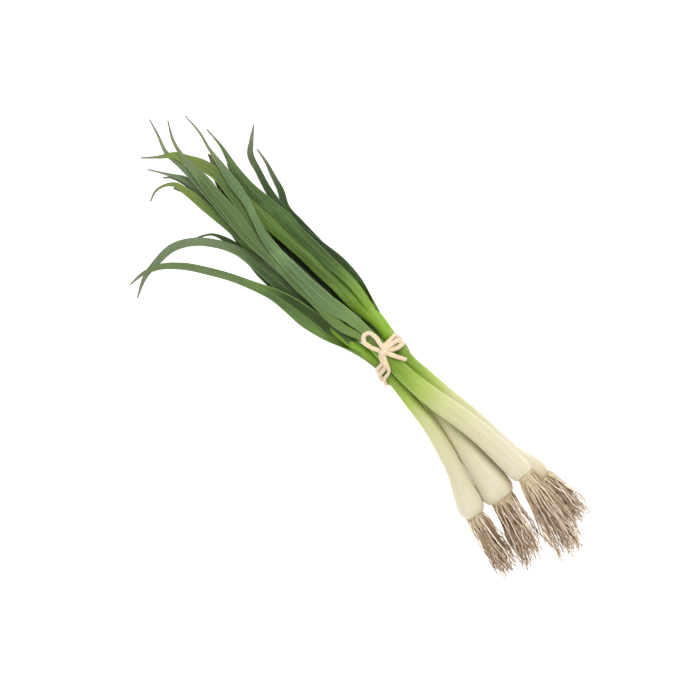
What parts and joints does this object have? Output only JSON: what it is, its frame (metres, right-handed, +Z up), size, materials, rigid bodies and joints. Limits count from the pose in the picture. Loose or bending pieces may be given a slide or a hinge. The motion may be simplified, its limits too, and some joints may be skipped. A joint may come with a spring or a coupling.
{
  "type": "spring onion bunch",
  "caption": "Tied bunch of spring onions lying flat: white bulbs with root tufts, pale shanks, long flat green leaves with curling tips, and a paper twine tied in a bow.",
  "frame": {"origin": "on the resting surface, in the middle of the bunch's footprint", "axes": "+X along the bunch from the roots to the leaf tips, +Y to the side where two leaves curl away, +Z up"},
  "size_m": [0.4576, 0.1556, 0.0368],
  "materials": {
    "leafy_stem": "waxy leaf, green at the blades and white at the bulb",
    "roots": "dry, fibrous and dull",
    "twine": "flat twisted paper cord, dull"
  },
  "bodies": {
    "root": {"onion_a_leafy_stem": "leafy_stem", "onion_a_roots": "roots", "onion_b_leafy_stem": "leafy_stem", "onion_b_roots": "roots", "onion_c_leafy_stem": "leafy_stem", "onion_c_roots": "roots", "onion_d_leafy_stem": "leafy_stem", "onion_d_roots": "roots", "twine_tie": "twine"}
  },
  "joints": []
}
